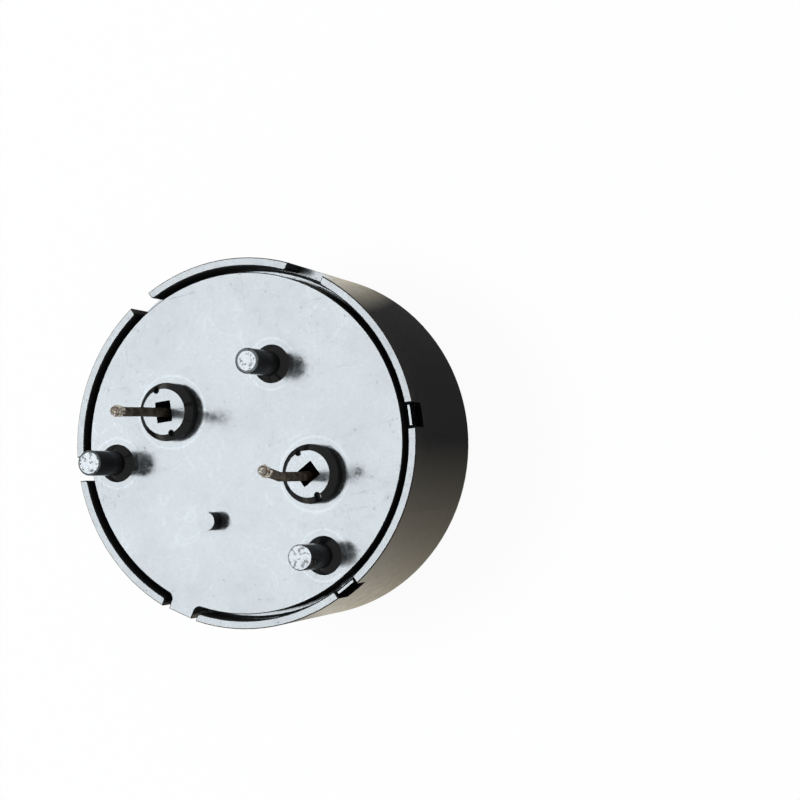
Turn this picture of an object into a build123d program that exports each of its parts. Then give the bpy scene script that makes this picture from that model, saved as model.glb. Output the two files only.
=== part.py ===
"""Externally driven piezo buzzer, 22 mm across, two solder leads on a 10 mm pitch.

It lies on its flat sound face with the leads upwards, as it lies on a bench before it is fitted.
Z is up, the origin is the middle of the sound face, and X runs through both leads.
All sizes are in millimetres.
"""
from build123d import *
from math import cos, radians, sin
import os

# Case: a moulded cup, open at the top, with a sound hole in its floor
rim_diameter = 22.0
body_height = 11.0
case_draft = 0.25              # the radius lost from the rim down to the sound face
face_edge_radius = 1.0
face_thickness = 1.2
sound_hole_diameter = 3.0
rim_wall = 0.5
rim_edge_chamfer = 0.06
rim_corner_radius = 0.2        # where a slot meets the bore
seat_depth = 2.1               # from the rim down to the ledge that carries the base plate
chamber_wall = 1.55            # from the rim's outer radius in to the back chamber
cavity_diameter = 15.0
cavity_depth = 3.2

# Slots through the rim, by the angle of their middle
open_slot_angles = (150, 210)
latch_slot_angles = (30, 330)
vent_slot_angle = 90
tab_slot_angle = 270
narrow_slot_width = 1.45
wide_slot_width = 2.35
latch_slot_depth = 1.7         # at the bore; the floor rises towards the outside
latch_mouth_depth = 1.4

# Base plate: the moulded lid that closes the cup and holds the leads
plate_thickness = 1.2
plate_recess = 0.15            # the plate's face lies this far below the rim
plate_gap = 0.37               # the dark ring between plate and rim
flange_clearance = 0.05
flange_thickness = 0.5
flange_lead_in = 0.15          # the bevel that guides the flange into the bore
plate_edge_chamfer = 0.05
tab_gap = 0.38
tab_corner_radius = 0.4
tab_set_back = 0.05
latch_side_gap = 0.14
latch_crest = 0.13
latch_set_back = 0.25          # from the case's outer face in to the latch's outer face
latch_undercut = 0.2           # how far the latch leans in towards its foot
latch_sill_clearance = 0.08
latch_foot_height = 0.4
skirt_wall = 0.75

# What stands on the base plate
lead_pitch = 10.0
pedestal_diameter = 3.5
pedestal_height = 1.1
pedestal_chamfer = 0.38
hole_length = 1.25
hole_width = 1.0
hole_turn = 30.0               # the two lead holes are turned by this, one each way
groove_radius = 0.2            # two upright grooves in the edge of each pedestal
groove_depth = 0.5
left_groove_angle = 133.5
right_groove_angle = 138.0
post_diameter = 1.5
post_height = 3.5
post_root_flare = 0.4
post_tip_chamfer = 0.06
key_post_distance = 5.0
side_post_inset = 1.73         # from the plate's edge in to the middle of a side post
side_post_angles = (210, 330)
peg_diameter = 1.1
peg_height = 1.1
peg_distance = 5.0
boss_diameter = 3.4
boss_depth = 0.8

# Sounding disc: brass plate, ceramic disc, silver electrode and the soft bond round the edge
brass_clearance = 0.45         # from the back chamber's wall
brass_thickness = 0.2
ceramic_diameter = 14.0
ceramic_thickness = 0.25
electrode_margin = 0.6
electrode_thickness = 0.05
bond_thickness = 0.1
bond_overlap = 1.1
bond_lip = 0.35
bond_lip_height = 0.15
bond_wall_clearance = 0.05

# Leads: a round wire above a flat shoulder and a spring foot
lead_diameter = 0.55
lead_length = 7.35             # above the base plate's face
lead_bend_radius = 1.5
shoulder_height = 0.8
shoulder_clearance = 0.05
spring_thickness = 0.2
spring_width = 0.7
spring_drop = 1.2
spring_bend_radius = 0.35
spring_foot = 0.8
electrode_contact_run = 2.4    # how far the left foot reaches in from its lead

rim_radius = rim_diameter / 2
face_radius = rim_radius - case_draft
bore_radius = rim_radius - rim_wall
chamber_radius = rim_radius - chamber_wall
rim_slots = open_slot_angles + latch_slot_angles + (vent_slot_angle, tab_slot_angle)
cavity_radius = cavity_diameter / 2
sound_hole_radius = sound_hole_diameter / 2
seat_height = body_height - seat_depth
shelf_height = face_thickness + cavity_depth

plate_radius = bore_radius - plate_gap
flange_radius = bore_radius - flange_clearance
plate_top = body_height - plate_recess
plate_under = plate_top - plate_thickness
flange_top = seat_height + flange_thickness
lead_x = lead_pitch / 2

brass_radius = chamber_radius - brass_clearance
ceramic_radius = ceramic_diameter / 2
brass_under = shelf_height + bond_thickness
brass_top = brass_under + brass_thickness
ceramic_top = brass_top + ceramic_thickness
electrode_top = ceramic_top + electrode_thickness

side_post_distance = plate_radius - side_post_inset
side_posts = [(side_post_distance * cos(radians(a)), side_post_distance * sin(radians(a)))
              for a in side_post_angles]
post_places = [(0, key_post_distance)] + side_posts

os.makedirs("parts", exist_ok=True)


def finish(builder, name):
    """Label one finished piece and write it to its own file."""
    builder.part.label = name
    export_step(builder.part, f"parts/{name}.step")


def slot_outline(angle, width):
    """The outline, at rim height, of one slot through the thin wall."""
    with BuildSketch(Plane.XY.offset(body_height)) as outline:
        with PolarLocations(bore_radius - plate_gap / 2 + rim_wall, 1, start_angle=angle):
            Rectangle(2 * rim_wall + plate_gap, width)
    return outline.sketch


# Case
with BuildPart() as case:
    with BuildSketch(Plane.XZ):
        with BuildLine():
            Polyline(
                (sound_hole_radius, 0),
                (face_radius, 0),
                (rim_radius, body_height),
                (bore_radius, body_height),
                (bore_radius, seat_height),
                (chamber_radius, seat_height),
                (chamber_radius, shelf_height),
                (cavity_radius, shelf_height),
                (cavity_radius, face_thickness),
                (sound_hole_radius, face_thickness),
                close=True,
            )
        make_face()
    revolve(axis=Axis.Z)
    fillet(case.edges().group_by(Axis.Z)[0].sort_by(SortBy.RADIUS)[-1], face_edge_radius)
    for slot_angle in open_slot_angles:
        extrude(slot_outline(slot_angle, narrow_slot_width), amount=-seat_depth, mode=Mode.SUBTRACT)
    for slot_angle in (vent_slot_angle, tab_slot_angle):
        extrude(slot_outline(slot_angle, wide_slot_width), amount=-seat_depth, mode=Mode.SUBTRACT)
    fillet(case.edges().filter_by(Axis.Z), rim_corner_radius)
    for slot_angle in latch_slot_angles:
        with BuildSketch(Plane.XZ.rotated((0, 0, slot_angle))):
            with BuildLine():
                Polyline(
                    (plate_radius, body_height - latch_slot_depth),
                    (bore_radius, body_height - latch_slot_depth),
                    (rim_radius, body_height - latch_mouth_depth),
                    (rim_radius + rim_wall, body_height - latch_mouth_depth),
                    (rim_radius + rim_wall, body_height),
                    (plate_radius, body_height),
                    close=True,
                )
            make_face()
        extrude(amount=narrow_slot_width / 2, both=True, mode=Mode.SUBTRACT)
    chamfer(case.faces().sort_by(Axis.Z)[-len(rim_slots):].edges(), rim_edge_chamfer)
finish(case, "case")


# Base plate
tab_width = wide_slot_width - 2 * tab_gap
tab_radius = rim_radius - tab_set_back
latch_width = narrow_slot_width - 2 * latch_side_gap
latch_outer = rim_radius - latch_set_back
latch_under = body_height - latch_slot_depth + latch_sill_clearance
skirt_radius = flange_radius - skirt_wall

with BuildPart() as base_plate:
    # the wide foot that sits on the ledge, then the face with its tab
    with BuildSketch(Plane.XY.offset(seat_height)):
        Circle(flange_radius)
    extrude(amount=flange_thickness)
    chamfer(base_plate.edges().group_by(Axis.Z)[-1], flange_lead_in)
    with BuildSketch(Plane.XY.offset(seat_height)):
        with PolarLocations(tab_radius / 2, 1, start_angle=tab_slot_angle):
            Rectangle(tab_radius, tab_width)
    extrude(amount=flange_thickness)
    with BuildSketch(Plane.XY.offset(flange_top)) as face_outline:
        Circle(plate_radius)
        with PolarLocations(tab_radius / 2, 1, start_angle=tab_slot_angle):
            Rectangle(tab_radius, tab_width)
        tab_corners = face_outline.vertices().filter_by(
            lambda v: abs((v.X ** 2 + v.Y ** 2) ** 0.5 - plate_radius) < plate_gap / 2)
        fillet(tab_corners, tab_corner_radius)
    extrude(amount=plate_top - flange_top)
    chamfer(base_plate.faces().sort_by(Axis.Z)[-1].edges(), plate_edge_chamfer)
    with BuildSketch(Plane.XY.offset(seat_height)):
        Circle(skirt_radius)
    extrude(amount=plate_under - seat_height, mode=Mode.SUBTRACT)

    # a thin upright latch in each latch slot, standing on a foot that crosses the gap
    for slot_angle in latch_slot_angles:
        with BuildSketch(Plane.XZ.rotated((0, 0, slot_angle))):
            with BuildLine():
                Polyline(
                    (plate_radius - plate_gap, latch_under),
                    (latch_outer - latch_undercut, latch_under),
                    (latch_outer, plate_top + plate_recess / 2),
                    (latch_outer - latch_crest, plate_top + plate_recess / 2),
                    (bore_radius - plate_gap / 2, latch_under + latch_foot_height),
                    (plate_radius - plate_gap, latch_under + latch_foot_height),
                    close=True,
                )
            make_face()
        extrude(amount=latch_width / 2, both=True)

    # pedestals round the lead holes
    with BuildSketch(Plane.XY.offset(plate_top)):
        with Locations((-lead_x, 0), (lead_x, 0)):
            Circle(pedestal_diameter / 2)
    extrude(amount=pedestal_height)
    chamfer(base_plate.edges().group_by(Axis.Z)[-1], pedestal_chamfer)
    for side, groove_angle in ((-1, left_groove_angle), (1, right_groove_angle)):
        with BuildSketch(Plane.XY.offset(plate_top + pedestal_height)):
            with Locations((side * lead_x, 0)):
                with PolarLocations(pedestal_diameter / 2 - pedestal_chamfer, 2, start_angle=groove_angle):
                    Circle(groove_radius)
        extrude(amount=-groove_depth, mode=Mode.SUBTRACT)

    # locating posts, each with a flared root, and the low peg
    for place in post_places:
        with BuildSketch(Plane.XY.offset(plate_top)):
            with Locations(place):
                Circle(post_diameter / 2)
        extrude(amount=post_height)
        chamfer(base_plate.edges().group_by(Axis.Z)[-1], post_tip_chamfer)
    with BuildSketch(Plane.XY.offset(plate_top)):
        with Locations((0, -peg_distance)):
            Circle(peg_diameter / 2)
    extrude(amount=peg_height)
    post_roots = base_plate.edges().filter_by(GeomType.CIRCLE).filter_by(
        lambda e: abs(e.radius - post_diameter / 2) < 0.001 and abs(e.center().Z - plate_top) < 0.001)
    chamfer(post_roots, post_root_flare)

    # bosses under the plate, then the turned holes right through
    with BuildSketch(Plane.XY.offset(plate_under)):
        with Locations((-lead_x, 0), (lead_x, 0)):
            Circle(boss_diameter / 2)
    extrude(amount=-boss_depth)
    with BuildSketch(Plane.XY.offset(plate_top + pedestal_height)):
        with Locations(Location((-lead_x, 0), hole_turn), Location((lead_x, 0), -hole_turn)):
            Rectangle(hole_width, hole_length)
    extrude(amount=-(pedestal_height + plate_thickness + boss_depth), mode=Mode.SUBTRACT)
finish(base_plate, "base_plate")


# Sounding disc, from the bond on its shelf up to the silver electrode
bond_outer = chamber_radius - bond_wall_clearance
with BuildPart() as bond_ring:
    with BuildSketch(Plane.XZ):
        with BuildLine():
            Polyline(
                (brass_radius - bond_overlap, shelf_height),
                (bond_outer, shelf_height),
                (bond_outer, brass_top),
                (brass_radius - bond_lip / 2, brass_top + bond_lip_height),
                (brass_radius - bond_lip, brass_top),
                (brass_radius, brass_top),
                (brass_radius, brass_under),
                (brass_radius - bond_overlap, brass_under),
                close=True,
            )
        make_face()
    revolve(axis=Axis.Z)
finish(bond_ring, "bond_ring")

with BuildPart() as brass_plate:
    with BuildSketch(Plane.XY.offset(brass_under)):
        Circle(brass_radius)
    extrude(amount=brass_thickness)
finish(brass_plate, "brass_plate")

with BuildPart() as ceramic_disc:
    with BuildSketch(Plane.XY.offset(brass_top)):
        Circle(ceramic_radius)
    extrude(amount=ceramic_thickness)
finish(ceramic_disc, "ceramic_disc")

with BuildPart() as electrode:
    with BuildSketch(Plane.XY.offset(ceramic_top)):
        Circle(ceramic_radius - electrode_margin)
    extrude(amount=electrode_thickness)
finish(electrode, "electrode")


# Leads: each is a bent wire, a shoulder that fills its hole, and a spring foot on the disc
shoulder_bottom = plate_under - boss_depth
brass_contact_radius = (ceramic_radius + brass_radius - bond_lip) / 2

# how far each wire strays from its hole's middle, by height above the plate
left_bends = ((-0.09, -0.12, 3.6), (0.07, -0.13, 5.9))
left_end = (0.09, -0.12)
right_bends = ((-0.08, -0.19, 1.6), (-0.05, -0.2, 4.9))
right_end = (-0.15, 0.14)


def lead_route(side, bends, end):
    """The points of one wire, from inside its shoulder to its cut end."""
    points = [(side * lead_x, 0, shoulder_bottom + shoulder_height / 2)]
    points += [(side * lead_x + dx, dy, plate_top + height) for dx, dy, height in bends]
    points.append((side * lead_x + end[0], end[1], plate_top + lead_length))
    return points


def spring_route(side, contact_x, contact_z):
    """The points of one spring strip, from under its shoulder to the end of its foot."""
    reach = 1 if contact_x > side * lead_x else -1
    foot_z = contact_z + spring_thickness / 2
    return [
        (side * lead_x, shoulder_bottom + shoulder_height / 2),
        (side * lead_x, shoulder_bottom - spring_drop),
        (contact_x - reach * spring_foot / 2, foot_z),
        (contact_x + reach * spring_foot / 2, foot_z),
    ]


leads = {
    "lead_left": (-1, hole_turn, left_bends, left_end, -lead_x + electrode_contact_run, electrode_top),
    "lead_right": (1, -hole_turn, right_bends, right_end, brass_contact_radius, brass_top),
}
lead_parts = {}
for name, (side, turn, bends, end, contact_x, contact_z) in leads.items():
    with BuildPart() as lead:
        with BuildLine() as wire_line:
            FilletPolyline(*lead_route(side, bends, end), radius=lead_bend_radius)
        with BuildSketch(Plane(wire_line.line @ 0, z_dir=wire_line.line % 0)):
            Circle(lead_diameter / 2)
        sweep(path=wire_line.line)
        with BuildSketch(Plane.XY.offset(shoulder_bottom)):
            with Locations(Location((side * lead_x, 0), turn)):
                Rectangle(hole_width - 2 * shoulder_clearance, hole_length - 2 * shoulder_clearance)
        extrude(amount=shoulder_height)
        with BuildSketch(Plane.XZ):
            with BuildLine():
                FilletPolyline(*spring_route(side, contact_x, contact_z), radius=spring_bend_radius)
            trace(line_width=spring_thickness)
        extrude(amount=spring_width / 2, both=True)
    finish(lead, name)
    lead_parts[name] = lead.part


# Solder: lumps run together round the last stretch of each wire and over its cut end.
# Each lump is given by how far back it lies from the end, how far it hangs to one side, and its radius.
left_lumps = ((0.28, 0.0, 0.4), (0.68, 0.03, 0.37))
right_lumps = ((0.26, 0.02, 0.37), (0.66, -0.03, 0.38))

solders = {
    "solder_left": ("lead_left", lead_route(-1, left_bends, left_end), left_lumps),
    "solder_right": ("lead_right", lead_route(1, right_bends, right_end), right_lumps),
}
for name, (lead_name, route, lumps) in solders.items():
    tip = Vector(*route[-1])
    along = (tip - Vector(*route[-2])).normalized()
    with BuildPart() as solder:
        for back, aside, radius in lumps:
            with Locations(Plane(tip - along * back, z_dir=along)):
                with Locations((aside, 0, 0)):
                    Sphere(radius)
        add(lead_parts[lead_name], mode=Mode.SUBTRACT)
    finish(solder, name)
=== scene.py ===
# %% [markdown]
# # A piezo buzzer, seen from its lead side
# The object is a black moulded cup, 22 mm across, that lies on its flat sound face with two wires
# pointing up. The CAD model already has every solid part in its true place, so this lesson adds only
# what an engineer's model leaves out: finishes, ragged solder, light and the photographer's view.
# The frame comes in first, and its size is noted before anything is added to it.

# %% Load the frame
import math

import bmesh
import bpy
from mathutils import Matrix, Vector


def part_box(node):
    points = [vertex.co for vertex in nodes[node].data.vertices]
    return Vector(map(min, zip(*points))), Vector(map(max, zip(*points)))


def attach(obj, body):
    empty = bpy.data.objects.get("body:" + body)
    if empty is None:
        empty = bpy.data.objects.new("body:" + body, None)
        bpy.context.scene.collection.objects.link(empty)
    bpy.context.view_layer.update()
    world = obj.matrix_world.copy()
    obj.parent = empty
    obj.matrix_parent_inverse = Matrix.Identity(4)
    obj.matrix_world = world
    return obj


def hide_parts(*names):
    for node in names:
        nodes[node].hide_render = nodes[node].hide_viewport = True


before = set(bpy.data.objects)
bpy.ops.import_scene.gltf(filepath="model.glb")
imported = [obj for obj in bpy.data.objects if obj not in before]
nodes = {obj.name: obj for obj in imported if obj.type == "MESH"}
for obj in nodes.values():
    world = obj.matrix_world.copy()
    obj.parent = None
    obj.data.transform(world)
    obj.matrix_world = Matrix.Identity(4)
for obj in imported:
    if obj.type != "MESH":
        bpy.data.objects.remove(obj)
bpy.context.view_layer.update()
case_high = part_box("case")[1]
plate_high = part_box("base_plate")[1]
print("nodes:", ", ".join(sorted(nodes)))

# %% [markdown]
# Blender counts in metres and the part is drawn in millimetres, so lengths are written as a number
# of millimetres times one factor. Colours are written as the hex codes that a colour picker shows.
# Those are meant for a screen, and the shaders expect linear light, so one function turns them over.

# %% Units and colours
MM = 0.001


def linear(code):
    """An sRGB hex colour as linear red, green, blue and a full alpha."""
    channels = [int(code[i:i + 2], 16) / 255 for i in (1, 3, 5)]
    return [c / 12.92 if c <= 0.04045 else ((c + 0.055) / 1.055) ** 2.4 for c in channels] + [1.0]


print("mid grey is", round(linear("#808080")[0], 3), "in linear light")

# %% [markdown]
# Every finish below is a small tree of shader nodes. Adding one takes three steps in the API: make
# it, choose its mode and fill its sockets. This helper does all three. A value that is itself an
# output socket is linked, and any other value is written into the socket.

# %% A helper that adds one shader node


def add_node(tree, kind, *values, settings=None, **named):
    """Adds a node, fills its first sockets in order and the named ones by name."""
    made = tree.nodes.new("ShaderNode" + kind)
    for key, value in (settings or {}).items():
        setattr(made, key, value)
    filled = list(zip(made.inputs, values))
    filled += [(made.inputs[key.replace("_", " ")], value) for key, value in named.items()]
    for socket, value in filled:
        if isinstance(value, bpy.types.NodeSocket):
            tree.links.new(value, socket)
        elif value is not None:
            socket.default_value = value
    return made


def bare_material(name):
    """A material and its tree, with nothing in it yet."""
    material = bpy.data.materials.new(name)
    material.use_nodes = True
    material.node_tree.nodes.clear()
    return material, material.node_tree


def new_material(name):
    """A material, its tree and the shader that its finish is built on."""
    material, tree = bare_material(name)
    shader = add_node(tree, "BsdfPrincipled")
    add_node(tree, "OutputMaterial", shader.outputs["BSDF"])
    return material, tree, shader


def math_node(tree, operation, *values):
    """The result of one sum on numbers or sockets, kept between 0 and 1."""
    return add_node(tree, "Math", *values, settings={"operation": operation, "use_clamp": True}).outputs[0]


def step_up(tree, value, start, end, low=0.0, high=1.0):
    """Turns a pattern's range start to end into low to high, and holds it outside."""
    return add_node(tree, "MapRange", value, start, end, low, high).outputs[0]


def peak(tree, value, middle, width):
    """A ridge that is 1 where a pattern equals middle and 0 beyond width on either side."""
    return math_node(tree, "MULTIPLY", step_up(tree, value, middle - width, middle),
                     step_up(tree, value, middle, middle + width, 1.0, 0.0))


def add_layers(tree, total, *layers):
    """Adds patterns to a total, each by its own weight."""
    for pattern, weight in layers:
        total = math_node(tree, "ADD", total, math_node(tree, "MULTIPLY", pattern, weight))
    return total


def two_tone(tree, share, first, second):
    """Mixes two colours by a pattern. Each is a hex code, or a socket that gives a colour."""
    tint = add_node(tree, "Mix", share, settings={"data_type": "RGBA"})
    for socket, tone in ((tint.inputs[6], first), (tint.inputs[7], second)):
        if isinstance(tone, str):
            socket.default_value = linear(tone)
        else:
            tree.links.new(tone, socket)
    return tint.outputs[2]


def put_in_scene(name, data):
    """An object that shows a mesh, a lamp or a camera."""
    made = bpy.data.objects.new(name, data)
    bpy.context.scene.collection.objects.link(made)
    return made


print("helpers are ready")

# %% [markdown]
# The photographer held the camera above the buzzer, a little to its right, and turned it, so that
# the leads stand side by side in the picture. A camera can be placed by an aim point, two angles and
# a distance, which is how a person thinks of it. The turn about its own axis comes last.

# %% Camera
aim_point = Vector((8.35, 5.92, 10.85)) * MM
camera_azimuth = math.radians(15.49)
camera_elevation = math.radians(69.62)
camera_distance = 120.6 * MM
camera_roll = math.radians(-84.11)
camera_lens = 94.2
sensor_width = 36.0

towards_camera = Vector((
    math.cos(camera_elevation) * math.cos(camera_azimuth),
    math.cos(camera_elevation) * math.sin(camera_azimuth),
    math.sin(camera_elevation),
))
camera_data = bpy.data.cameras.new("camera")
camera_data.lens = camera_lens
camera_data.sensor_width = sensor_width
camera_data.clip_start = 5 * MM
camera = put_in_scene("camera", camera_data)
turn = towards_camera.to_track_quat("Z", "Y").to_matrix() @ Matrix.Rotation(camera_roll, 3, "Z")
camera.matrix_world = Matrix.Translation(aim_point + towards_camera * camera_distance) @ turn.to_4x4()
bpy.context.scene.camera = camera
bpy.context.scene.view_settings.view_transform = "Standard"
print("camera at", [round(c / MM, 1) for c in camera.location], "mm")

# %% [markdown]
# The lid looks pale in the photograph, and yet it is black plastic: it is glossy, and it mirrors a
# bright window. So the look depends on one large soft lamp that stands just where the lid, taken as
# a mirror, sends the camera's line of sight. A black plastic surface throws back only a twentieth of
# what falls on it, and therefore the lamp is bright and small enough to keep white things white.

# %% Key light
post_height = 3.5 * MM
plate_middle = Vector((0, 0, plate_high.z - post_height))
line_of_sight = (camera.location - plate_middle).normalized()
mirror_direction = Vector((-line_of_sight.x, -line_of_sight.y, line_of_sight.z))
key_distance = 500 * MM
key_size = 215 * MM
key_power = 2.08

key_data = bpy.data.lights.new("window", "AREA")
key_data.shape = "SQUARE"
key_data.size = key_size
key_data.energy = key_power
key_data.color = linear("#F0F9FF")[:3]
key = put_in_scene("window", key_data)
key.location = plate_middle + mirror_direction * key_distance
key.rotation_euler = mirror_direction.to_track_quat("Z", "Y").to_euler()
print("the window stands", round(key.location.z / MM), "mm above the table")

# %% [markdown]
# The room around gives a dim even fill. The picture's background is white paper, so the world shows
# white to the camera alone, and to every other ray it stays dim. Light Path tells the two apart.

# %% Room light
room_strength = 0.3

world = bpy.data.worlds.new("room")
bpy.context.scene.world = world
world.use_nodes = True
room = world.node_tree
room.nodes.clear()
ray = add_node(room, "LightPath")
dim = add_node(room, "Background", linear("#FFFFFF"), room_strength)
white = add_node(room, "Background", linear("#FFFFFF"), 1.0)
mixed = add_node(room, "MixShader", ray.outputs["Is Camera Ray"], dim.outputs[0], white.outputs[0])
add_node(room, "OutputWorld", mixed.outputs[0])
print("room light at", room_strength)

# %% [markdown]
# The table is a wide sheet of white paper, a hair below the sound face, because two surfaces at the
# very same height flicker when they are seen from below. Plain paper renders light grey
# wherever the lamp falls off, so the camera sees it mixed with an even white glow, which leaves the
# soft shadow readable. The front of the cup mirrors the table too. There it looks cream, so mirrored
# rays meet a cream glow, a painted warm reflection, and every other ray meets plain paper.

# %% Paper on the table
paper_reach = 1500 * MM
paper_drop = 0.02 * MM
paper_glow = 0.95
cream_reflection_glow = 0.56

paper_mesh = bpy.data.meshes.new("paper")
sheet = bmesh.new()
bmesh.ops.create_grid(sheet, x_segments=1, y_segments=1, size=paper_reach,
                      matrix=Matrix.Translation((0, 0, -paper_drop)))
sheet.to_mesh(paper_mesh)
sheet.free()
paper = put_in_scene("paper", paper_mesh)

paper_finish, tree = bare_material("white paper")
matte = add_node(tree, "BsdfDiffuse", linear("#F7F6F4"))
glow = add_node(tree, "Emission", linear("#FFFFFF"), 1.0)
# Only mirrored rays see this cream glow: a painted reflection on the cup's walls.
cream = add_node(tree, "Emission", linear("#FFF1D4"), 1.0)
ray = add_node(tree, "LightPath")
seen = math_node(tree, "MULTIPLY", ray.outputs["Is Camera Ray"], paper_glow)
mirrored = math_node(tree, "MULTIPLY", ray.outputs["Is Glossy Ray"], cream_reflection_glow)
plain = add_node(tree, "MixShader", seen, matte.outputs[0], glow.outputs[0])
warm = add_node(tree, "MixShader", mirrored, plain.outputs[0], cream.outputs[0])
add_node(tree, "OutputMaterial", warm.outputs[0])
paper_mesh.materials.append(paper_finish)
print("paper", round(2 * paper_reach, 1), "m wide")

# %% [markdown]
# In the photograph the right side of the cup is much darker than the front, and the ends of the slots
# are dark as well. A studio gets such dark gloss with dim cards, called flags. The camera looks down
# steeply, so what the walls mirror is the table close by, and the cards can lie flat round the cup's
# foot. They fade out at both ends and at the outer edge, and the inner edge lies under the cup, so their
# mirror picture has no hard border. Only mirrored rays see them, so they darken the gloss and nothing
# else.

# %% Dark flags round the cup's foot
flag_inner = 9.4 * MM
flag_outer = 19 * MM
flag_outer_fade = 4 * MM
flag_lift = 0.03 * MM
flag_glow = 0.06
flag_steps = 32

# For each flag, the two angles between which it lies and the two angles over which it fades, in degrees
flags = {"right flag": ((-42, 98), (65, 18)), "back flag": ((112, 298), (16, 16))}


def flag_finish(name, ends, fades):
    """A dim card that fades to nothing over its own angle at each of two ends, and at its outer edge."""
    material, tree = bare_material(name)
    place = add_node(tree, "TexCoord").outputs["Object"]
    spot = add_node(tree, "SeparateXYZ", place)
    turn = spot.outputs["Y"]
    steps = (("ARCTAN2", spot.outputs["X"]), ("SUBTRACT", ends[0]), ("WRAP", 2 * math.pi, 0.0))
    for operation, *values in steps:
        turn = add_node(tree, "Math", turn, *values, settings={"operation": operation}).outputs[0]
    width = ends[1] - ends[0]
    share = math_node(tree, "MULTIPLY", step_up(tree, turn, 0.0, fades[0]),
                      step_up(tree, turn, width - fades[1], width, 1.0, 0.0))
    reach = add_node(tree, "VectorMath", place, settings={"operation": "LENGTH"}).outputs["Value"]
    near = step_up(tree, reach, flag_outer - flag_outer_fade, flag_outer, 1.0, 0.0)
    share = math_node(tree, "MULTIPLY", share, near)
    clear = add_node(tree, "BsdfTransparent")
    # The card glows faintly and only mirrored rays see it: a painted dark reflection on the cup's walls.
    card = add_node(tree, "Emission", linear("#FFFFFF"), flag_glow)
    faded = add_node(tree, "MixShader", share, clear.outputs[0], card.outputs[0])
    add_node(tree, "OutputMaterial", faded.outputs[0])
    return material


def lay_flag(name, ends, material):
    """A flat strip on the paper: one short edge, spun about the cup from one end to the other."""
    strip = bmesh.new()
    corners = [strip.verts.new((r * math.cos(ends[0]), r * math.sin(ends[0]), flag_lift))
               for r in (flag_inner, flag_outer)]
    edge = strip.edges.new(corners)
    bmesh.ops.spin(strip, geom=corners + [edge], axis=(0, 0, 1), cent=(0, 0, 0),
                   angle=ends[1] - ends[0], steps=flag_steps, use_merge=False)
    mesh = bpy.data.meshes.new(name)
    strip.to_mesh(mesh)
    strip.free()
    mesh.materials.append(material)
    flag = put_in_scene(name, mesh)
    flag.visible_camera = flag.visible_diffuse = flag.visible_shadow = False


for name, angles in flags.items():
    ends, fades = [[math.radians(a) for a in pair] for pair in angles]
    lay_flag(name, ends, flag_finish(name + " card", ends, fades))
    print(name, "from", *angles[0], "degrees")

# %% [markdown]
# Both mouldings are black polyester, the plastic of most electronic parts. Its gloss is what the
# eye sees: a mirror picture that is soft at the edges, clouded where the mould was polished
# unevenly, and crossed by hair-fine scratches from handling. These few patterns are used more than
# once below, for the dust and the painted sheen, for the gloss and for the metals. Each is sized in
# millimetres. Scratches and pits are drawn several times as wide as real ones, or no pixel of the
# render would show them.

# %% Patterns for moulded plastic
cloud_length = 5.0 * MM
mottle_length = 0.7 * MM
grease_length = 0.3 * MM
wisp_length = 2.6 * MM
speck_spacing = 0.6 * MM
pit_spacing = 0.28 * MM
scratch_width = 0.05 * MM
scratch_length = 4.0 * MM


def scratches(tree, place, angle, rarity):
    """Thin straight lines in one direction: a noise pattern stretched along it and cut high."""
    turned = add_node(tree, "Mapping", place, settings={"vector_type": "TEXTURE"},
                      Rotation=(0, 0, math.radians(angle)),
                      Scale=(scratch_length, scratch_width, scratch_length))
    streaks = add_node(tree, "TexNoise", turned.outputs[0], Scale=1.0, Detail=0.0)
    return step_up(tree, streaks.outputs[0], rarity, rarity + 0.05)


def specks(tree, place, spacing, reach, kept):
    """Small dots, one to a cell, in only some of the cells."""
    cells = add_node(tree, "TexVoronoi", place, Scale=1 / spacing)
    dots = step_up(tree, cells.outputs["Distance"], 0.0, reach, 1.0, 0.0)
    lot = add_node(tree, "SeparateColor", cells.outputs["Color"]).outputs[0]
    chosen = step_up(tree, lot, kept, kept + 0.01)
    return math_node(tree, "MULTIPLY", dots, chosen)


def clouds(tree, place, length, start, end, detail=3.0):
    """Soft patches of about one length."""
    noise = add_node(tree, "TexNoise", place, Scale=1 / length, Detail=detail, Roughness=0.6)
    return step_up(tree, noise.outputs[0], start, end)


def wisps(tree, place, length, width):
    """Thin wandering lines: the places where a warped noise pattern passes its middle value."""
    noise = add_node(tree, "TexNoise", place, Scale=1 / length, Detail=3.0, Distortion=1.4)
    return peak(tree, noise.outputs[0], 0.5, width)


def facing(tree, direction, start, end):
    """1 where the surface faces up (direction 1) or down (direction -1), and 0 elsewhere."""
    normal = add_node(tree, "SeparateXYZ", add_node(tree, "TexCoord").outputs["Normal"]).outputs["Z"]
    return step_up(tree, normal, direction * start, direction * end)


print("clouds of", cloud_length / MM, "mm")

# %% [markdown]
# Round each post and pedestal the lid shows a faint ring, the print of the steel pin that formed it.
# A ring this shallow has no depth that a camera could see, so the light it catches is painted into
# the finish as a pale line, a painted highlight: the distance to the post's middle is compared with
# the ring's radius.

# %% Rings round the posts
lead_x = 5.0 * MM
key_post_y = 5.0 * MM
side_post_distance = 8.4 * MM
side_post_angles = (210, 330)
post_ring_radius = 1.52 * MM
pedestal_ring_radius = 2.2 * MM
ring_width = 0.12 * MM
lid_recess = 0.15 * MM
lid_top = case_high.z - lid_recess

ring_places = [((0, key_post_y, lid_top), post_ring_radius)]
for angle in [math.radians(a) for a in side_post_angles]:
    middle = (side_post_distance * math.cos(angle), side_post_distance * math.sin(angle), lid_top)
    ring_places.append((middle, post_ring_radius))
ring_places += [((side * lead_x, 0, lid_top), pedestal_ring_radius) for side in (-1, 1)]


def rings(tree, place):
    """All the rings in one pattern."""
    total = 0.0
    for middle, radius in ring_places:
        reach = add_node(tree, "VectorMath", place, middle, settings={"operation": "DISTANCE"})
        ring = peak(tree, reach.outputs["Value"], radius, ring_width)
        total = math_node(tree, "ADD", total, ring)
    return total


print(len(ring_places), "rings")
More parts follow.
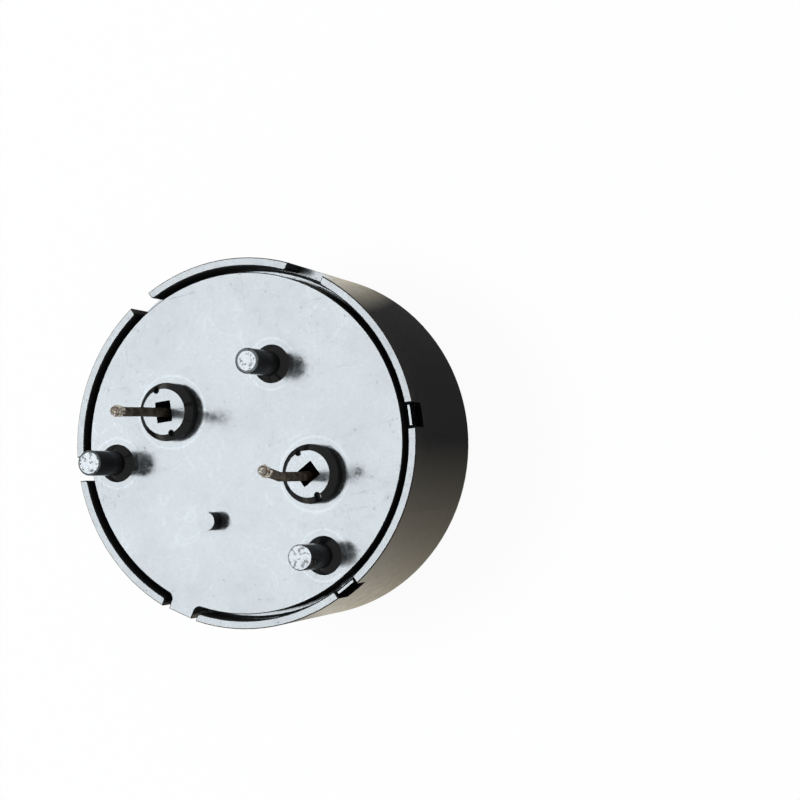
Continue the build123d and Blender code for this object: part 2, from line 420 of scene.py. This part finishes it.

# %% [markdown]
# The lid and the rim were pressed against polished steel, so they are glossy. Dust and finger grease
# lie on what faces up, as a thin pale film that comes and goes in clouds, and the same pale clouds
# are a painted sheen: they stand in for the clouded mirror picture of the window. The upright walls
# stay clean and nearly black. The ends of the posts have been knocked, so they are scuffed and chipped.
# All the patterns are laid out first, because the colour, the gloss and the skin share them.

# %% The patterns of one moulding
chip_length = 0.22 * MM
worn_from = lid_top + 2.0 * MM
worn_blend = 0.2 * MM


def plastic_patterns(tree):
    """Every pattern that both mouldings use, by name."""
    place = add_node(tree, "TexCoord").outputs["Object"]
    cloud = clouds(tree, place, cloud_length, 0.36, 0.7)
    height = add_node(tree, "SeparateXYZ", place).outputs["Z"]
    tips = step_up(tree, height, worn_from, worn_from + worn_blend)
    return {
        "place": place,
        "up": facing(tree, 1, 0.85, 0.98),
        "down": facing(tree, -1, 0.7, 0.95),
        "cloud": cloud,
        "mottle": clouds(tree, place, mottle_length, 0.35, 0.75, detail=5.0),
        "grease": clouds(tree, place, grease_length, 0.4, 0.75, detail=4.0),
        "wisp": math_node(tree, "MULTIPLY", wisps(tree, place, wisp_length, 0.02), cloud),
        "marks": math_node(tree, "ADD", scratches(tree, place, 35, 0.76), scratches(tree, place, 118, 0.78)),
        "dust": specks(tree, place, speck_spacing, 0.12, 0.75),
        "pits": specks(tree, place, pit_spacing, 0.3, 0.86),
        "tips": tips,
        "chips": math_node(tree, "MULTIPLY", clouds(tree, place, chip_length, 0.56, 0.62), tips),
    }


print("worn above", round(worn_from / MM, 2), "mm")

# %% [markdown]
# The colour is black with a pale layer over it: dust, and a painted sheen in its clouds. Each pattern
# adds its share to the layer, the chips take it away again, and all of it is kept off the walls. The
# sound face was pressed against etched steel, so there the plastic is a dull charcoal instead.

# %% Colour of the plastic
clean_colour = "#121213"
# The pale layer's colour: dust, and a painted bluish sheen where its clouds stand in for the mirrored
# window.
dust_and_sheen_colour = "#B4BABD"
dull_dark = "#343434"
dull_light = "#403F3D"
thinnest_dust_and_sheen = 0.05
mottle_low, mottle_high = 0.5, 1.6
film_of_grease = 0.6
film_of_wisps = 0.2
film_of_marks = 0.1
film_of_dust = 0.25
ring_highlight_share = 0.22
film_of_tips = 0.2
film_off_chips = 0.7


def plastic_colour(tree, found, thickest_dust_and_sheen, with_rings):
    """Black under dust and a painted sheen, or charcoal on the sound face; thickest_dust_and_sheen is the
    most.
    """
    dust_and_sheen = step_up(tree, found["cloud"], 0.0, 1.0, thinnest_dust_and_sheen, thickest_dust_and_sheen)
    uneven = step_up(tree, found["mottle"], 0.0, 1.0, mottle_low, mottle_high)
    dust_and_sheen = math_node(tree, "MULTIPLY", dust_and_sheen, uneven)
    dust_and_sheen = add_layers(tree, dust_and_sheen, (found["grease"], film_of_grease * thickest_dust_and_sheen),
                      (found["wisp"], film_of_wisps), (found["marks"], film_of_marks),
                      (found["dust"], film_of_dust))
    # The rings are a painted highlight: pale lines where the shallow rings would catch the light.
    if with_rings:
        dust_and_sheen = add_layers(tree, dust_and_sheen, (rings(tree, found["place"]), ring_highlight_share))
    dust_and_sheen = add_layers(tree, dust_and_sheen, (found["tips"], film_of_tips))
    dust_and_sheen = math_node(tree, "SUBTRACT", dust_and_sheen, math_node(tree, "MULTIPLY", found["chips"], film_off_chips))
    dust_and_sheen = math_node(tree, "MULTIPLY", dust_and_sheen, found["up"])
    dull = two_tone(tree, found["mottle"], dull_dark, dull_light)
    return two_tone(tree, found["down"], two_tone(tree, dust_and_sheen, clean_colour, dust_and_sheen_colour), dull)


print("clean plastic is", clean_colour)

# %% [markdown]
# The gloss is the roughness socket: low where the skin is clear, higher where it is worn. The walls of
# the gap between lid and rim, 10.1 to 10.5 mm out, were never polished, so they stay dark. The etched
# sound face is rougher too.

# %% Gloss of the plastic
gap_middle = 10.3 * MM
gap_reach = 0.3 * MM
rough_of_marks = 0.25
rough_of_mottle = 0.3
rough_of_grease = 0.2
rough_of_chips = 0.5
rough_of_face = 0.3
rough_of_gap = 3.0


def plastic_gloss(tree, found, gloss, scuffed):
    """Roughness between gloss, where the skin is clear, and scuffed, where it is worn."""
    worn = math_node(tree, "MULTIPLY", found["marks"], found["up"])
    worn = math_node(tree, "MULTIPLY", worn, rough_of_marks)
    worn = add_layers(tree, worn, (found["mottle"], rough_of_mottle), (found["grease"], rough_of_grease),
                      (found["chips"], rough_of_chips))
    flat = add_node(tree, "VectorMath", found["place"], (1, 1, 0), settings={"operation": "MULTIPLY"})
    reach = add_node(tree, "VectorMath", flat.outputs[0], settings={"operation": "LENGTH"}).outputs["Value"]
    upright = math_node(tree, "SUBTRACT", 1.0, found["up"])
    gap = math_node(tree, "MULTIPLY", peak(tree, reach, gap_middle, gap_reach), upright)
    return add_layers(tree, step_up(tree, worn, 0.0, 1.0, gloss, scuffed),
                      (found["down"], rough_of_face), (gap, rough_of_gap))


print("the gap's middle lies", round(gap_middle / MM, 1), "mm out")

# %% [markdown]
# The skin is a bump: soft waves, a few pits, the chips, and a fine grain on the sound face. The waves
# are only 0.012 mm deep, because a glossy surface shows even those in the edges of its reflections.

# %% Skin of the plastic
skin_depth = 0.012 * MM
wave_share = 0.5
pit_share = 0.6
chip_share = 0.35
grain_length = 0.09 * MM
grain_depth = 0.02 * MM


def plastic_skin(tree, found):
    """The bump of the skin, as a normal."""
    wave = add_node(tree, "TexNoise", found["place"], Scale=1 / mottle_length, Detail=1.0).outputs[0]
    height = math_node(tree, "MULTIPLY", wave, wave_share)
    for pattern, share in ((found["pits"], pit_share), (found["chips"], chip_share)):
        height = math_node(tree, "SUBTRACT", height, math_node(tree, "MULTIPLY", pattern, share))
    waves = add_node(tree, "Bump", Strength=1.0, Distance=skin_depth, Height=height)
    grain = add_node(tree, "TexNoise", found["place"], Scale=1 / grain_length, Detail=3.0).outputs[0]
    grain = math_node(tree, "MULTIPLY", grain, found["down"])
    return add_node(tree, "Bump", Strength=1.0, Distance=grain_depth, Height=grain,
                    Normal=waves.outputs[0]).outputs[0]


print("skin waves of", round(mottle_length / MM, 1), "mm")

# %% [markdown]
# One function makes both mouldings, because they are one plastic. The lid took a better polish than the
# cup, and it holds more dust and more painted sheen.

# %% Two black mouldings
polyester_ior = 1.57


def moulded_plastic(name, gloss, scuffed, thickest_dust_and_sheen, with_rings):
    """Black polyester, with its own gloss and its own thickness of dust and painted sheen."""
    material, tree, shader = new_material(name)
    found = plastic_patterns(tree)
    tree.links.new(plastic_colour(tree, found, thickest_dust_and_sheen, with_rings), shader.inputs["Base Color"])
    tree.links.new(plastic_gloss(tree, found, gloss, scuffed), shader.inputs["Roughness"])
    tree.links.new(plastic_skin(tree, found), shader.inputs["Normal"])
    shader.inputs["IOR"].default_value = polyester_ior
    return material


lid_plastic = moulded_plastic("gloss black polyester", gloss=0.08, scuffed=0.5,
                              thickest_dust_and_sheen=0.2, with_rings=True)
cup_plastic = moulded_plastic("satin black polyester", gloss=0.12, scuffed=0.46,
                              thickest_dust_and_sheen=0.12, with_rings=False)
print("plastics:", lid_plastic.name, "and", cup_plastic.name)

# %% [markdown]
# The wires are tinned copper that has darkened with age. A metal has no colour of its own besides
# its reflection, so the tarnish is painted as a darker, browner reflection in patches. Solder, rolled
# brass and silver paste are metals in two tones as well, so one function makes all four.

# %% Four metals


def patched_metal(name, first, second, patch, start, end, rough, grain, depth, bare=1.0):
    """Metal in two tones, with a grain that breaks up its highlight; bare is the share free of oxide."""
    material, tree, shader = new_material(name)
    place = add_node(tree, "TexCoord").outputs["Object"]
    tone = two_tone(tree, clouds(tree, place, patch, start, end), first, second)
    tree.links.new(tone, shader.inputs["Base Color"])
    texture = add_node(tree, "TexNoise", place, Scale=1 / grain, Detail=4.0)
    dull = step_up(tree, texture.outputs[0], 0.3, 0.7, rough, rough + 0.2)
    tree.links.new(dull, shader.inputs["Roughness"])
    bump = add_node(tree, "Bump", Strength=1.0, Distance=depth, Height=texture.outputs[0])
    tree.links.new(bump.outputs[0], shader.inputs["Normal"])
    shader.inputs["Metallic"].default_value = bare
    return material


wire_metal = patched_metal("tarnished tinned copper", "#493A30", "#7B7266", patch=0.5 * MM, start=0.42,
                           end=0.62, rough=0.4, grain=0.12 * MM, depth=0.03 * MM, bare=0.55)
solder_metal = patched_metal("solder with bare copper", "#EFECE4", "#A98B74", patch=0.3 * MM, start=0.5,
                             end=0.64, rough=0.25, grain=0.1 * MM, depth=0.05 * MM)
brass_metal = patched_metal("rolled brass", "#C99B4B", "#B98A3C", patch=3.0 * MM, start=0.4,
                            end=0.6, rough=0.28, grain=0.2 * MM, depth=0.002 * MM)
silver_metal = patched_metal("fired silver paste", "#D9D8D3", "#C9C7C0", patch=1.0 * MM, start=0.4,
                             end=0.6, rough=0.4, grain=0.08 * MM, depth=0.004 * MM)
print("metals:", wire_metal.name, "and three more")

# %% [markdown]
# Inside the cup lie the sounding disc and its soft glue. They are seen only through the sound hole
# and between the parts, yet each still has its own finish: fired ceramic and cured silicone.

# %% Ceramic and silicone
pale_grain = 0.15 * MM
pale_depth = 0.005 * MM
light_depth = 0.5 * MM


def plain_solid(name, first, second, patch, rough, through):
    """A pale solid in two close tones; through is the share of light that passes under its skin."""
    material, tree, shader = new_material(name)
    place = add_node(tree, "TexCoord").outputs["Object"]
    tone = two_tone(tree, clouds(tree, place, patch, 0.35, 0.65), first, second)
    tree.links.new(tone, shader.inputs["Base Color"])
    grain = add_node(tree, "TexNoise", place, Scale=1 / pale_grain, Detail=3.0)
    bump = add_node(tree, "Bump", Strength=1.0, Distance=pale_depth, Height=grain.outputs[0])
    tree.links.new(bump.outputs[0], shader.inputs["Normal"])
    shader.inputs["Roughness"].default_value = rough
    shader.inputs["Subsurface Weight"].default_value = through
    shader.inputs["Subsurface Scale"].default_value = light_depth
    return material


ceramic = plain_solid("fired piezo ceramic", "#B7AE98", "#C4BCA8", patch=1.5 * MM, rough=0.55, through=0.0)
silicone = plain_solid("cured silicone", "#E4E2DB", "#D8D5CC", patch=2.0 * MM, rough=0.35, through=0.3)
print("pale solids:", ceramic.name, "and", silicone.name)

# %% [markdown]
# Someone soldered these leads once and then pulled them free, so each wire ends in ragged lumps. The
# frame has them as smooth beads, hollow where the wire goes in. A copy of each bead is made solid by
# wrapping it in its convex hull, remeshed into small even faces, and a cloud pattern pushes these in
# by a few hundredths of a millimetre. It only goes inwards, so the lumps stay within the outline.

# %% Ragged solder
solder_grain = 0.035 * MM
solder_bite = 0.15 * MM
solder_pattern = 0.22 * MM
merge_distance = 0.0005 * MM

bite_texture = bpy.data.textures.new("solder bites", "CLOUDS")
bite_texture.noise_scale = solder_pattern
bite_texture.noise_depth = 2
bite_texture.intensity = 0.94
bite_texture.contrast = 2.0


def ragged_copy(node_name):
    """A roughened copy of one solder bead, which is shown in its place."""
    mesh = nodes[node_name].data.copy()
    mesh.materials.clear()
    beads = bmesh.new()
    beads.from_mesh(mesh)
    bmesh.ops.remove_doubles(beads, verts=beads.verts, dist=merge_distance)
    hull = bmesh.ops.convex_hull(beads, input=beads.verts)
    bmesh.ops.delete(beads, geom=hull["geom_interior"] + hull["geom_unused"], context="VERTS")
    bmesh.ops.delete(beads, geom=hull["geom_holes"], context="FACES")
    bmesh.ops.recalc_face_normals(beads, faces=beads.faces)
    beads.to_mesh(mesh)
    beads.free()
    lump = put_in_scene(node_name + "_ragged", mesh)
    remesh = lump.modifiers.new("even faces", "REMESH")
    remesh.mode = "VOXEL"
    remesh.voxel_size = solder_grain
    remesh.use_smooth_shade = True
    bite = lump.modifiers.new("bites", "DISPLACE")
    bite.texture = bite_texture
    bite.texture_coords = "LOCAL"
    bite.mid_level = 1.0
    bite.strength = solder_bite
    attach(lump, "root")
    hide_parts(node_name)
    mesh.materials.append(solder_metal)
    return lump


for solder_name in ("solder_left", "solder_right"):
    print(ragged_copy(solder_name).name)

# %% [markdown]
# Last, each CAD piece gets its finish. The frame's meshes are never changed: a finish is only put in
# the piece's material slot.

# %% Dress the frame
finishes = {
    "case": cup_plastic,
    "base_plate": lid_plastic,
    "brass_plate": brass_metal,
    "ceramic_disc": ceramic,
    "electrode": silver_metal,
    "bond_ring": silicone,
    "lead_left": wire_metal,
    "lead_right": wire_metal,
    "solder_left": solder_metal,
    "solder_right": solder_metal,
}
for node_name, finish_material in finishes.items():
    slots = nodes[node_name].data.materials
    slots.clear()
    slots.append(finish_material)
print("dressed", len(finishes), "pieces")
